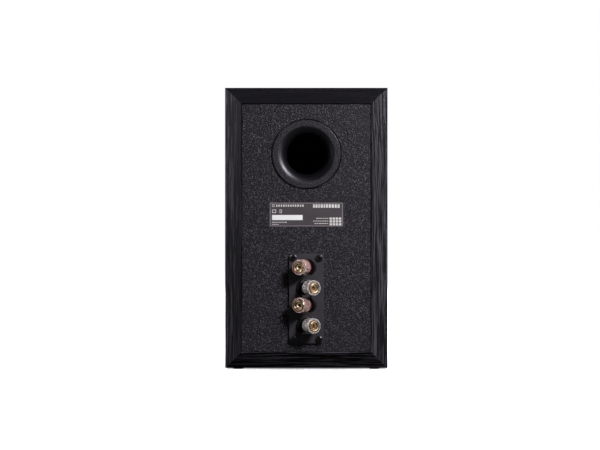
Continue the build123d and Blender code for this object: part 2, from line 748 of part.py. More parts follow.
def woofer_nodes():
    cone_back = CONE_NECK
    former_r = COIL_R
    gap_mid = BASKET_DEPTH + TOP_PLATE_T / 2
    magnet_front = BASKET_DEPTH + TOP_PLATE_T
    yoke_front = magnet_front + MAGNET_T
    bore = former_r + COIL_WIRE_T + COIL_GAP
    pole = former_r - COIL_FORMER_T - MOVING_GAP
    slope = (cone_back - CONE_RIM) / (CONE_R - former_r)
    cap_seat = CONE_RIM + slope * (CONE_R - DUST_CAP_R)
    cap_radius = (DUST_CAP_R ** 2 + DUST_CAP_H ** 2) / (2 * DUST_CAP_H)
    cap_centre = Pos(0, 0, cap_seat - PART_GAP - DUST_CAP_H + cap_radius)
    cap = cap_centre * (Sphere(cap_radius) - Sphere(cap_radius - CONE_T))
    cap &= rod(DUST_CAP_R, cap_seat - 2 * DUST_CAP_H, cap_seat - PART_GAP)
    cone_edge = CONE_R - 0.3
    cone = turned(
        (former_r + PART_GAP, cone_back),
        (cone_edge, CONE_RIM),
        (cone_edge, CONE_RIM + CONE_T),
        (former_r + PART_GAP, cone_back + CONE_T),
    )
    coil_low = gap_mid - COIL_LENGTH / 2
    coil_high = gap_mid + COIL_LENGTH / 2
    nodes = {
        "woofer_basket": woofer_basket(),
        "woofer_trim_ring": woofer_trim_ring(),
        "woofer_surround": woofer_surround(),
        "woofer_cone": cone,
        "woofer_dust_cap": cap,
        "woofer_spider": woofer_spider(),
        "woofer_coil_former": tube(former_r, former_r - COIL_FORMER_T, cone_back - 1, coil_high + 1),
        "woofer_coil_winding": tube(
            former_r + COIL_WIRE_T, former_r + RUNNING_GAP / 5, coil_low, coil_high
        ),
        "woofer_top_plate": tube(TOP_PLATE_R, bore, BASKET_DEPTH, magnet_front),
        "woofer_magnet": tube(MAGNET_R, MAGNET_BORE_R, magnet_front, yoke_front),
        "woofer_yoke": rod(TOP_PLATE_R, yoke_front, yoke_front + YOKE_T)
        + rod(pole, BASKET_DEPTH - 1, yoke_front),
        "woofer_screws": group([Pos(x, y) * driver_screw() for x, y in woofer_screw_places()]),
        "woofer_tag_strip": woofer_tag_strip(),
    }
    return {name: front_plane(WOOFER_Z) * shape for name, shape in nodes.items()}


def woofer_tag_strip():
    """Small tag board on the side of the basket, with two solder tags."""
    low = SPIDER_DEPTH + WOOFER_SHELL + PART_GAP
    high = BASKET_DEPTH - PART_GAP
    base = -SPIDER_SEAT_R - PART_GAP
    half = TAG_STRIP_W / 2
    strip = block((base - BOARD_T, -half, low), (base, half, high))
    for side in (-1, 1):
        y = side * half * 0.6
        strip += block((base - BOARD_T - 5, y - 1.4, low + 3), (base - BOARD_T, y + 1.4, low + 3.8))
    return strip


# ---- tweeter ----

def tweeter_nodes():
    plate_back = FACEPLATE_T
    top_front = plate_back + TWEETER_SPACER
    top_back = top_front + TWEETER_TOP_T
    magnet_back = top_back + TWEETER_MAGNET_T
    coil_r = DOME_R - DOME_T
    bore = coil_r + TWEETER_COIL_T + MOVING_GAP
    pole = coil_r - TWEETER_COIL_T - MOVING_GAP
    throat = DOME_ROLL_R + MOVING_GAP
    guide_r = WAVEGUIDE_R
    curve = Polyline(
        (throat, WAVEGUIDE_DEPTH),
        (throat, plate_back),
        (throat + 3, plate_back),
        (throat + 3, top_front),
        (TWEETER_BODY_R - 1, top_front),
        (TWEETER_BODY_R - 1, plate_back),
        (FACEPLATE_R, plate_back),
        (FACEPLATE_R, 0),
        (guide_r, 0),
    )
    middle = ((guide_r + throat) / 2, WAVEGUIDE_DEPTH * 0.72)
    curve += ThreePointArc((guide_r, 0), middle, (throat, WAVEGUIDE_DEPTH))
    face = turned_curve(curve)
    for x, y in tweeter_screw_places():
        face -= Pos(x, y) * counterbore()
    sphere_r = (DOME_R ** 2 + DOME_H ** 2) / (2 * DOME_H)
    centre = Pos(0, 0, DOME_BASE - DOME_H + sphere_r)
    dome = centre * (Sphere(sphere_r) - Sphere(sphere_r - DOME_T))
    dome &= rod(DOME_R, DOME_BASE - 2 * DOME_H, DOME_BASE)
    roll_mid = (DOME_R + DOME_ROLL_R) / 2
    roll_r = (DOME_ROLL_R - DOME_R) / 2
    roll = turned_curve(
        CenterArc((roll_mid, DOME_BASE), roll_r, 180, 180)
        + Line((roll_mid + roll_r, DOME_BASE), (roll_mid + roll_r - DOME_T, DOME_BASE))
        + CenterArc((roll_mid, DOME_BASE), roll_r - DOME_T, 180, 180)
        + Line((roll_mid - roll_r + DOME_T, DOME_BASE), (roll_mid - roll_r, DOME_BASE))
    )
    skirt = tube(DOME_R + DOME_T, coil_r, DOME_BASE - DOME_T, DOME_BASE + DOME_T)
    coil = tube(coil_r, coil_r - TWEETER_COIL_T, DOME_BASE + DOME_T, top_back + 1)
    coil += tube(coil_r + TWEETER_COIL_T, coil_r - RUNNING_GAP, top_front + 0.4, top_back - 0.4)
    yoke = rod(TWEETER_BODY_R - 1, magnet_back, magnet_back + TWEETER_YOKE_T)
    yoke += rod(pole, top_front, magnet_back)
    terminals = []
    for side in (-1, 1):
        x = side * (TWEETER_BODY_R - 12)
        terminals.append(block((x - 2, -22, magnet_back + TWEETER_YOKE_T), (x + 2, -18, magnet_back + 9)))
    for post in terminals:
        yoke += post
    nodes = {
        "tweeter_faceplate": face,
        "tweeter_dome": dome + roll + skirt,
        "tweeter_coil": coil,
        "tweeter_top_plate": tube(TWEETER_BODY_R - 1, bore, top_front, top_back),
        "tweeter_magnet": tube(TWEETER_BODY_R, bore + 3, top_back, magnet_back),
        "tweeter_yoke": yoke,
        "tweeter_screws": group([Pos(x, y) * driver_screw() for x, y in tweeter_screw_places()]),
    }
    return {name: front_plane(TWEETER_Z) * shape for name, shape in nodes.items()}


# ---- crossover ----

def on_board(x, y, z=0.0):
    """Place on the top of the board: x across, y from its front edge, z above it."""
    return Pos(x, BOARD_Y + y, BOARD_TOP_Z + z)


def lying_capacitor(radius, length):
    """Can lying along x, with its two legs bent down to the board."""
    body = Pos(0, 0, radius + PART_GAP) * Rot(0, 90, 0) * Cylinder(radius, length)
    for side in (-1, 1):
        x = side * (length / 2 + 2)
        body += Pos(side * (length / 2 + 1), 0, radius) * Rot(0, 90, 0) * Cylinder(0.5, 3)
        body += Pos(x, 0, 0) * rod(0.5, 0, radius + 0.5)
    return body


def air_core_inductor(radius, height):
    """Wound coil between two bobbin cheeks."""
    core = radius * 0.4
    cheek = 1.5
    coil = tube(radius - 1, core, cheek, height - cheek)
    return coil + tube(radius, core, 0, cheek) + tube(radius, core, height - cheek, height)


def crossover_nodes():
    board = Pos(0, BOARD_Y + BOARD_L / 2, BOARD_Z + BOARD_T / 2) * Box(BOARD_W, BOARD_L, BOARD_T)
    standoffs = []
    for sx in (-1, 1):
        for y in (STANDOFF_INSET, BOARD_L - STANDOFF_INSET):
            x = sx * (BOARD_W / 2 - STANDOFF_INSET)
            board -= Pos(x, BOARD_Y + y, BOARD_Z) * rod(1.6, -1, BOARD_T + 1)
            pillar = rod(STANDOFF_R, FLOOR_Z, BOARD_Z) + rod(1.5, BOARD_Z, BOARD_TOP_Z + 1.5)
            standoffs.append(Pos(x, BOARD_Y + y, 0) * pillar)
    resistor = block((-24, -5, 0), (24, 5, 9))
    return {
        "crossover_board": board,
        "crossover_standoffs": group(standoffs),
        "crossover_inductors": group(
            [on_board(-22, 26) * air_core_inductor(19, 20), on_board(24, 24) * air_core_inductor(15, 15)]
        ),
        "crossover_capacitors": group(
            [
                on_board(-22, 60) * lying_capacitor(9, 30),
                on_board(22, 50) * lying_capacitor(7, 28),
                on_board(22, 68) * lying_capacitor(7, 28),
            ]
        ),
        "crossover_resistors": group([on_board(-16, 82) * resistor, on_board(-16, 98) * resistor]),
    }


# ---- internal leads ----

def lead(points):
    """Insulated wire along straight runs joined by arcs as large as the runs allow."""
    vectors = [Vector(*p) for p in points]
    radii = []
    for a, b, c in zip(vectors, vectors[1:], vectors[2:]):
        shorter = min((b - a).length, (c - b).length)
        half_turn = math.radians((b - a).get_angle(c - b)) / 2
        radii.append(0.45 * shorter / math.tan(half_turn))
    path = FilletPolyline(*points, radius=radii)
    start = Plane(origin=path @ 0, z_dir=path % 0)
    return sweep(start * Circle(LEAD_R), path=path)


def input_leads():
    """From the solder tags of the posts to the rear edge of the board."""
    wires = []
    seat = -COLLAR_DEPTH - WELL_FLOOR - WASHER_T - TAG_REACH
    end_y = BOARD_Y + BOARD_L - 12
    for k, lean in enumerate(POST_LEANS):
        plane = post_plane(k)
        side = lean * (WASHER_R + TAG_T / 2)
        start = plane.from_local_coords(Vector(0, side, seat))
        inward = plane.from_local_coords(Vector(0, side, seat - 9))
        x = 2 * LEAD_PITCH + LEAD_PITCH * LEAD_LANES[k]
        z = start.Z
        wires.append(
            lead(
                [
                    tuple(start),
                    tuple(inward),
                    (inward.X + 6, inward.Y - 14, z - 10 + 2 * k),
                    (x, end_y + 4, BOARD_TOP_Z + 17 - k),
                    (x, end_y, BOARD_TOP_Z + LEAD_LIFT),
                ]
            )
        )
    return group(wires)


def woofer_leads():
    """From the board to the tag strip on the woofer."""
    wires = []
    tag_x = SPIDER_SEAT_R + BOARD_T + 5 + LEAD_R
    tag_y = FRONT_Y + SPIDER_DEPTH + WOOFER_SHELL + 3.5
    for side in (-1, 1):
        z = WOOFER_Z + side * TAG_STRIP_W * 0.3
        wires.append(
            lead(
                [
                    (tag_x, tag_y, z),
                    (tag_x + 5 + side, tag_y + 12, z - 4),
                    (tag_x + 4 + 2 * side, tag_y + 34, z - 26),
                    (38 + 2 * side, BOARD_Y + 5, BOARD_TOP_Z + 22),
                    (38 + 3 * side, BOARD_Y + 10, BOARD_TOP_Z + LEAD_LIFT),
                ]
            )
        )
    return group(wires)


def tweeter_leads():
    """From the board up through the brace's window to the tweeter."""
    wires = []
    start_y = FRONT_Y + FACEPLATE_T + TWEETER_SPACER + TWEETER_TOP_T + TWEETER_MAGNET_T + 9
    for side in (-1, 1):
        x = side * (TWEETER_BODY_R - 12)
        wires.append(
            lead(
                [
                    (x, start_y + LEAD_LIFT, TWEETER_Z - 20),
                    (x * 0.8 - 4, start_y + 25, TWEETER_Z - 26),
                    (-30 + 4 * side, BOARD_Y + 6, BRACE_Z + BRACE_T / 2),
                    (-48 + 3 * side, BOARD_Y + 18, WOOFER_Z + 10),
                    (-50 + 3 * side, BOARD_Y + 40, BOARD_TOP_Z + 40),
                    (-38 + 5 * side, BOARD_Y + 46 + side, BOARD_TOP_Z + LEAD_LIFT),
                ]
            )
        )
    return group(wires)


def build():
    """Every node of the loudspeaker by name."""
    nodes = cabinet_walls()
    nodes["rear_panel"] = rear_panel()
    nodes["front_baffle"] = front_baffle()
    nodes["cabinet_brace"] = cabinet_brace()
    nodes["acoustic_lining"] = acoustic_lining()
    nodes["rubber_feet"] = rubber_feet()
    nodes["port_flange"] = port_flange()
    nodes["port_tube"] = port_tube()
    nodes["rating_label"] = rating_label()
    nodes["terminal_plate"] = terminal_plate()
    nodes["terminal_gasket"] = terminal_gasket()
    nodes["terminal_screws"] = terminal_screws()
    nodes["post_base_bushes"] = post_base_bushes()
    nodes["post_shafts"] = post_shafts()
    nodes.update(post_inner_stack())
    nodes.update(knobs())
    nodes.update(woofer_nodes())
    nodes.update(tweeter_nodes())
    nodes.update(crossover_nodes())
    nodes["input_leads"] = input_leads()
    nodes["woofer_leads"] = woofer_leads()
    nodes["tweeter_leads"] = tweeter_leads()
    return nodes


os.makedirs("parts", exist_ok=True)
for name, shape in build().items():
    export_step(shape, f"parts/{name}.step")
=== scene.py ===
import math
import random

import bmesh
import bpy
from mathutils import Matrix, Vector, noise


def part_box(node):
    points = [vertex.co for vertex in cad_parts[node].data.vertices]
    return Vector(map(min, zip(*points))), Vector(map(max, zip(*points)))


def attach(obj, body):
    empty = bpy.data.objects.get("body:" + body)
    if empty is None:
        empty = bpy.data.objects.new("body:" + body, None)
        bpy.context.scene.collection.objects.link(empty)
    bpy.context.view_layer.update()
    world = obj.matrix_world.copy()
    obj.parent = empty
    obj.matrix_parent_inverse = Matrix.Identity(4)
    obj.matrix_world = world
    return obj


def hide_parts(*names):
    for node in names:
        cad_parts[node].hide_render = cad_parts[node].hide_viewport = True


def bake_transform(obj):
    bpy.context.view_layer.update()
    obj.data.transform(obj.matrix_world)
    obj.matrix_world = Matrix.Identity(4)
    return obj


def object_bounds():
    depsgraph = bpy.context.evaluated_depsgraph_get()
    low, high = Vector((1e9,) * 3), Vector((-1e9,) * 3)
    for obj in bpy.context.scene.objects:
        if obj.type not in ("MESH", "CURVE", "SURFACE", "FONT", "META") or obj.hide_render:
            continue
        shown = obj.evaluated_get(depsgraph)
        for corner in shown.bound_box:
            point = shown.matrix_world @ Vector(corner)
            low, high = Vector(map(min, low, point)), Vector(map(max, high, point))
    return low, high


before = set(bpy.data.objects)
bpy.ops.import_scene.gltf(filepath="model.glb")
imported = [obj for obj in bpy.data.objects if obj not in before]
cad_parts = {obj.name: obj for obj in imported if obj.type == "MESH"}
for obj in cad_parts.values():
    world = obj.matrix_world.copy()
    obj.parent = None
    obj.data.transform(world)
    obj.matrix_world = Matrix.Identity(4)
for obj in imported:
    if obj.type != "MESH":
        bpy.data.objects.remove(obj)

cad_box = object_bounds()
scene = bpy.context.scene


# ---- cabinet walls ----
# Four fibreboard walls folded up from one board, with the rear edges bevelled and
# mitred. They are covered with black ash foil, whose grain runs up the sides and
# across the top and bottom. The top's foil is made darker as painted shade, and the
# bottom's lighter as painted light.

class Value:
    """A socket in a material's tree. Arithmetic on it adds its Math nodes."""

    def __init__(self, tree, socket=None):
        self.tree = tree
        self.socket = socket

    def node(self, kind, settings=None, inputs=None, out=0):
        """Adds a node: its settings first, then the numbers or links of its sockets."""
        made = self.tree.nodes.new(kind)
        for key, value in (settings or {}).items():
            setattr(made, key, value)
        for key, value in (inputs or {}).items():
            usable = [s for s in made.inputs if s.enabled]
            socket = usable[key] if isinstance(key, int) else next(s for s in usable if s.name == key)
            if isinstance(value, Value):
                self.tree.links.new(value.socket, socket)
            else:
                socket.default_value = value
        usable = [s for s in made.outputs if s.enabled]
        return Value(self.tree, usable[out] if isinstance(out, int) else made.outputs[out])

    def math(self, operation, first, second):
        return self.node("ShaderNodeMath", {"operation": operation}, {0: first, 1: second})

    def __add__(self, other):
        return self.math("ADD", self, other)

    __radd__ = __add__

    def __sub__(self, other):
        return self.math("SUBTRACT", self, other)

    def __rsub__(self, other):
        return self.math("SUBTRACT", other, self)

    def __mul__(self, other):
        return self.math("MULTIPLY", self, other)

    __rmul__ = __mul__

    def __pow__(self, other):
        return self.math("POWER", self, other)

    def scaled(self, amounts):
        """This vector with each axis multiplied by its own amount."""
        return self.node("ShaderNodeVectorMath", {"operation": "MULTIPLY"}, {0: self, 1: amounts})

    def moved(self, other):
        return self.node("ShaderNodeVectorMath", {"operation": "ADD"}, {0: self, 1: other})

    def length(self):
        return self.node("ShaderNodeVectorMath", {"operation": "LENGTH"}, {0: self}, out="Value")

    def noise(self, scale, detail=2.0, rough=0.5):
        return self.node("ShaderNodeTexNoise", {}, {
            "Vector": self, "Scale": scale, "Detail": detail, "Roughness": rough,
        })

    def bent(self, scale, detail, reach):
        """This place pushed aside by up to reach, so that what is laid on it wavers."""
        drift = self.node("ShaderNodeTexNoise", {}, {
            "Vector": self, "Scale": scale, "Detail": detail,
        }, out="Color")
        return self.moved(drift.scaled((reach, reach, reach)))

    def ridges(self, axis, scale):
        """Even rounded ridges that follow one another along an axis."""
        return self.node("ShaderNodeTexWave", {"bands_direction": axis}, {"Vector": self, "Scale": scale})

    def between(self, low, high):
        """0 at low, 1 at high, and held outside them."""
        return self.node("ShaderNodeMapRange", {}, {"Value": self, "From Min": low, "From Max": high})

    def shade(self, dark, light):
        """A colour between two, by this value."""
        return self.node("ShaderNodeMix", {"data_type": "RGBA"}, {"Factor": self, "A": dark, "B": light})

    def bump(self, depth, strength=1.0):
        return self.node("ShaderNodeBump", {}, {"Strength": strength, "Distance": depth, "Height": self})


def begin(name):
    """A new material and its object coordinates, which are metres on the loudspeaker."""
    material = bpy.data.materials.new(name)
    material.use_nodes = True
    start = Value(material.node_tree)
    return material, start.node("ShaderNodeTexCoord", out="Object")


def end(material, inputs):
    """Sets or links the sockets of the material's shader."""
    shader = material.node_tree.nodes["Principled BSDF"]
    for key, value in inputs.items():
        if isinstance(value, Value):
            material.node_tree.links.new(value.socket, shader.inputs[key])
        else:
            shader.inputs[key].default_value = value
    return material


def coat(material, *names):
    """Gives CAD nodes their finish through their own material slots."""
    for name in names:
        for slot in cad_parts[name].material_slots:
            slot.material = material


GRAIN_ALONG = 16.0
GRAIN_ACROSS = 560.0
UPRIGHT = (False, False, True)
SIDEWAYS = (True, False, False)


def ash_foil(name, grain, light, shine):
    """Open ash grain: long streaks of figure with fine dark pores in them."""
    material, place = begin(name)
    waved = place.bent(scale=9.0, detail=1.0, reach=0.009)

    def streaks(along, across, detail, rough=0.5):
        """Noise drawn out along the grain, finer or coarser than the foil's own scales."""
        stretch = tuple(along * GRAIN_ALONG if a else across * GRAIN_ACROSS for a in grain)
        return waved.scaled(stretch).noise(1.0, detail, rough)

    figure = streaks(1.0, 1.0, 3.0, 0.55).between(0.48, 0.58)
    pores = streaks(4.0, 2.6, 2.0, 0.6).between(0.38, 0.5)
    bands = streaks(0.3, 0.1, 2.0).between(0.32, 0.68)
    height = figure * (0.5 + 0.5 * pores)
    bright = height * (0.25 + 1.3 * bands)
    return end(material, {
        "Base Color": bright.shade((0.0008, 0.0007, 0.0011, 1), light),
        "Roughness": 0.76 - 0.2 * bright,
        "Specular IOR Level": shine,
        "Normal": height.bump(0.0005),
    })


side_foil = ash_foil("ash_foil_grain_up", UPRIGHT, (0.046, 0.0433, 0.0484, 1), 0.14)
# painted shade: the top wall's copy of the foil is made darker than the sides'
top_foil_painted_shade = ash_foil("ash_foil_across_painted_shade", SIDEWAYS, (0.0050, 0.0046, 0.0058, 1), 0.06)
# painted light: the bottom wall's copy of the foil is made lighter than the sides'
base_foil_painted_light = ash_foil("ash_foil_base_painted_light", SIDEWAYS, (0.115, 0.107, 0.124, 1), 0.25)
coat(side_foil, "left_side_panel", "right_side_panel")
coat(top_foil_painted_shade, "top_panel")
coat(base_foil_painted_light, "bottom_panel")


# ---- rear panel ----
# Fibreboard panel let in between the walls, faced with black vinyl embossed with a
# pebble grain of about a millimetre and a half.

PEBBLE = 0.00145


def pebbled(name, size, dark, light):
    """Rounded grains of one size, with a painted highlight on their tops and painted shade in the joints
    between.
    """
    material, place = begin(name)
    bent = place.bent(scale=0.5 / size, detail=2.0, reach=0.8 * size)
    cells = bent.node("ShaderNodeTexVoronoi", {"feature": "SMOOTH_F1"}, {
        "Vector": bent, "Scale": 1.0 / size, "Smoothness": 0.25, "Randomness": 1.0,
    }, out="Distance")
    pebble = 1.0 - cells.between(0.10, 0.60)
    small = place.noise(1.15 / size, 2.0)
    patches = place.noise(0.11 / size, 3.0)
    # painted highlight on the grain tops and painted shade in the joints between them
    painted_grain_light = pebble * small.between(0.37, 0.60)
    tone = (painted_grain_light ** 1.25) * (1.2 + 0.4 * patches.between(0.3, 0.7))
    return end(material, {
        "Base Color": tone.shade(dark, light),
        "Roughness": 0.66 - 0.18 * pebble,
        "Specular IOR Level": 0.4,
        "Normal": (pebble + 0.4 * small).bump(0.0008),
    })


vinyl = pebbled("pebble_vinyl_painted_light", PEBBLE, (0.0012, 0.0011, 0.0015, 1), (0.114, 0.1035, 0.120, 1))
coat(vinyl, "rear_panel")


# ---- front baffle ----
# Machined fibreboard front with chamfered edges, sprayed with satin black lacquer
# that shows only a trace of orange peel.

def moulded(name, dark, light, rough, grain, depth, fixed=None):
    """An even finish: the size and depth of its grain, and a slight change of tone and gloss."""
    material, place = begin(name)
    fine = place.noise(1.0 / grain, 3.0)
    broad = place.noise(0.08 / grain, 2.0)
    tone = (0.6 * fine + 0.4 * broad).between(0.32, 0.68)
    return end(material, {
        "Base Color": tone.shade((*dark, 1), (*light, 1)),
        "Roughness": rough * 0.8 + broad * (rough * 0.4),
        "Normal": fine.bump(depth),
        **(fixed or {}),
    })


coat(
    moulded("satin_lacquer", (0.012, 0.012, 0.0125), (0.017, 0.017, 0.018), 0.34, 0.0011, 0.00003,
            {"Coat Weight": 0.25, "Coat Roughness": 0.22}),
    "front_baffle",
)


# ---- brace ----
# Window brace sawn from bare fibreboard and glued across the inside of the walls. It
# is left without foil or paint, as it is never seen.

def fibreboard(name):
    material, place = begin(name)
    fibres = place.scaled((1.0, 1.0, 2.4)).noise(900.0, 5.0, 0.7)
    clumps = place.noise(140.0, 3.0)
    tone = (0.7 * fibres + 0.3 * clumps).between(0.3, 0.7)
    return end(material, {
        "Base Color": tone.shade((0.19, 0.125, 0.072, 1), (0.37, 0.265, 0.165, 1)),
        "Roughness": 0.82 + 0.12 * fibres,
        "Normal": fibres.bump(0.0002),
    })


coat(fibreboard("bare_fibreboard"), "cabinet_brace")


# ---- acoustic lining ----
# Pads of white polyester wadding, glued to the side walls above and below the brace
# and under the top. Each is a soft slab with full, rounded edges and a lumpy face.

def loose_parts(node):
    """The lowest and highest corner of each separate solid of a CAD node."""
    work = bmesh.new()
    work.from_mesh(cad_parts[node].data)
    bmesh.ops.remove_doubles(work, verts=work.verts, dist=1e-6)
    unseen = set(work.verts)
    parts = []
    while unseen:
        front = [unseen.pop()]
        part = []
        while front:
            vertex = front.pop()
            part.append(vertex.co.copy())
            for edge in vertex.link_edges:
                other = edge.other_vert(vertex)
                if other in unseen:
                    unseen.remove(other)
                    front.append(other)
        low = Vector(min(p[axis] for p in part) for axis in range(3))
        high = Vector(max(p[axis] for p in part) for axis in range(3))
        parts.append((low, high))
    work.free()
    return sorted(parts, key=lambda p: tuple(p[0]))


def piece(name, points, faces, material, body="cabinet"):
    """A smooth-shaded mesh object that rides on a body."""
    mesh = bpy.data.meshes.new(name)
    mesh.from_pydata([tuple(p) for p in points], [], faces)
    mesh.materials.append(material)
    mesh.update()
    for polygon in mesh.polygons:
        polygon.use_smooth = True
    made = bpy.data.objects.new(name, mesh)
    scene.collection.objects.link(made)
    if body:
        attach(made, body)
    return made


TURN_OVER = (0.0, 0.12, 0.4)


def stations(low, high, rounding, step):
    """Places along one edge of a pad: close together where it turns over, even between."""
    count = max(1, round((high - low - 2 * rounding) / step))
    middle = [low + rounding + (high - low - 2 * rounding) * i / count for i in range(count + 1)]
    first = [low + part * rounding for part in TURN_OVER]
    last = [high - part * rounding for part in reversed(TURN_OVER)]
    return first + middle + last


LUMP_SCALE = 55.0
LUMP_DEPTH = 0.0011


def soft_slab(low, high, rounding, step, glued):
    """A closed slab with rounded edges. Its face lifts and sinks, and its glued side is flat."""
    lines = [stations(low[a], high[a], rounding, step) for a in range(3)]
    inner_low = [low[a] + rounding for a in range(3)]
    inner_high = [high[a] - rounding for a in range(3)]
    points, index = [], {}

    def at(key):
        if key in index:
            return index[key]
        spot = Vector(lines[a][key[a]] for a in range(3))
        core = Vector(min(max(spot[a], inner_low[a]), inner_high[a]) for a in range(3))
        away = spot - core
        if away.length > 0:
            spot = core + away.normalized() * rounding
        axis, side = glued
        wall = low[axis] if side < 0 else high[axis]
        depth = abs(spot[axis] - wall) / (high[axis] - low[axis])
        lump = noise.fractal(spot * LUMP_SCALE, 0.6, 2.1, 4)
        sink = LUMP_DEPTH * depth * (0.55 + 0.9 * abs(lump))
        spot[axis] += sink * side
        index[key] = len(points)
        points.append(spot)
        return index[key]

    faces = []
    for axis in range(3):
        u, v = (axis + 1) % 3, (axis + 2) % 3
        for end_index in (0, len(lines[axis]) - 1):
            for i in range(len(lines[u]) - 1):
                for j in range(len(lines[v]) - 1):
                    corner = [0, 0, 0]
                    quad = []
                    for du, dv in ((0, 0), (1, 0), (1, 1), (0, 1)):
                        corner[axis], corner[u], corner[v] = end_index, i + du, j + dv
                        quad.append(at(tuple(corner)))
                    faces.append(quad if end_index else quad[::-1])
    return points, faces


def polyester_wadding():
    material, place = begin("polyester_wadding")
    hairs = place.noise(2300.0, 6.0, 0.75)
    tufts = place.noise(240.0, 4.0, 0.6)
    tone = (0.55 * hairs + 0.45 * tufts).between(0.32, 0.68)
    return end(material, {
        "Base Color": tone.shade((0.55, 0.54, 0.50, 1), (0.86, 0.85, 0.81, 1)),
        "Roughness": 0.9 + 0.08 * hairs,
        "Sheen Weight": 0.3,
        "Normal": (0.6 * hairs + 0.4 * tufts).bump(0.0009),
    })


LINING_CLEAR = 0.0004
LINING_ROUNDING = 0.0034
LINING_STEP = 0.007
wadding = polyester_wadding()
cad_middle = [(a + b) / 2 for a, b in zip(*cad_box)]
for number, (low, high) in enumerate(loose_parts("acoustic_lining")):
    size = high - low
    thin = min(range(3), key=lambda a: size[a])
    side = 1 if (low[thin] + high[thin]) / 2 > cad_middle[thin] else -1
    low = low + Vector((LINING_CLEAR,) * 3)
    high = high - Vector((LINING_CLEAR,) * 3)
    points, faces = soft_slab(low, high, LINING_ROUNDING, LINING_STEP, (thin, side))
    pad = piece(f"lining_pad_{number + 1}", points, faces, wadding)
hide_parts("acoustic_lining")


# ---- feet ----
# Four thin pads of black rubber, stuck under the bottom wall with their own adhesive.
# They show from behind only as a dark line.

foot_rubber = moulded("foot_rubber", (0.012, 0.012, 0.012), (0.022, 0.022, 0.022), 0.85, 0.0004, 0.00004)
coat(foot_rubber, "rubber_feet")


# ---- reflex port ----
# Injection-moulded flared mouth pressed into the rear panel, and the duct pushed onto
# its spigot. The flat face is finely grained, and the rim and the mouth are smooth and
# satin. The mouth is painted dark as shade in the throat, and a narrow ring at the rim
# is painted dark as a shadow line beside the real groove round the flange. The duct is
# painted nearly black as shade inside the tube.

MOUTH_EDGE = 0.0300
FACE_EDGE = 0.0318
SHADOW_RIM_FROM = 0.0366
SHADOW_RIM_TO = 0.0372


def radius_from(place, x, z):
    """Distance from an axis that runs front to back through x and z."""
    return place.moved((-x, 0.0, -z)).scaled((1.0, 0.0, 1.0)).length()


def port_moulding(x, z):
    """Satin black, with the grain only on the flat face between the mouth and the rim. The mouth is
    painted dark as shade, and the rim as a painted shadow line.
    """
    material, place = begin("port_moulding")
    radius = radius_from(place, x, z)
    # painted shade: the mouth and the ring at the rim keep the dark colour, as shade in the throat and a
    # shadow line at the groove
    face = radius.between(MOUTH_EDGE, FACE_EDGE) - radius.between(SHADOW_RIM_FROM, SHADOW_RIM_TO)
    specks = face * place.noise(900.0, 2.0).between(0.42, 0.60)
    return end(material, {
        "Base Color": specks.shade((0.0036, 0.0033, 0.0040, 1), (0.028, 0.0255, 0.0295, 1)),
        "Roughness": 0.36 + 0.26 * face,
        "Specular IOR Level": 0.4,
        "Normal": specks.bump(0.0004),
    })


port_low, port_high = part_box("port_flange")
coat(port_moulding((port_low.x + port_high.x) / 2, (port_low.z + port_high.z) / 2), "port_flange")
# painted shade: the duct is made darker than the other black plastics, as the shade inside the tube
duct_painted_shade = moulded("port_duct_painted_shade", (0.0025, 0.0025, 0.0028), (0.0045, 0.0045, 0.005), 0.7, 0.0008, 0.00004)
coat(duct_painted_shade, "port_tube")


# ---- rating label ----
# Grey-brown polyester film stuck to the rear panel. It has a thin light border and
# light print: rows of plain dashes, a blank strip for the serial number, and a
# block of small squares.

coat(
    moulded("label_film", (0.0480, 0.0420, 0.0410), (0.0620, 0.0550, 0.0530), 0.42, 0.0006, 0.00001),
    "rating_label",
)
label_ink = moulded("label_ink", (0.56, 0.57, 0.51), (0.68, 0.69, 0.62), 0.5, 0.0004, 0.000005)
strip_ink = moulded("serial_strip", (0.80, 0.83, 0.74), (0.88, 0.91, 0.82), 0.45, 0.0008, 0.000005)

INK = 0.00004
label_low, label_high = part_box("rating_label")
label_mid = (label_low + label_high) / 2


def printed(bars, left, right, low, high):
    """Adds one printed bar, in millimetres from the label's middle, as it is read."""
    bars.append((left / 1000, right / 1000, low / 1000, high / 1000))


def print_piece(name, bars, ink):
    """Bars of ink of a hair's thickness, lying on the label."""
    points, faces = [], []
    base = label_high.y
    for left, right, low, high in bars:
        first = len(points)
        for y in (base - INK / 2, base + INK):
            for u, v in ((left, low), (right, low), (right, high), (left, high)):
                points.append((label_mid.x - u, y, label_mid.z + v))
        faces.append([first, first + 3, first + 2, first + 1])
        faces.append([first + 4, first + 5, first + 6, first + 7])
        for a in range(4):
            b = (a + 1) % 4
            faces.append([first + a, first + b, first + 4 + b, first + 4 + a])
    made = piece(name, points, faces, ink)
    for polygon in made.data.polygons:
        polygon.use_smooth = False
    return made


def dashes(bars, left, right, low, high, widths, gap):
    """A row of plain dashes that fills a line of print with no letters in it."""
    draw = random.Random(int(left * 7 + high * 3))
    u = left
    while u < right - widths[0]:
        width = min(draw.uniform(*widths), right - u)
        printed(bars, u, u + width, low, high)
        u += width + gap


def frame_of_bars(bars, left, right, low, high, line):
    printed(bars, left, right, high - line, high)
    printed(bars, left, right, low, low + line)
    printed(bars, left, left + line, low + line, high - line)
    printed(bars, right - line, right, low + line, high - line)


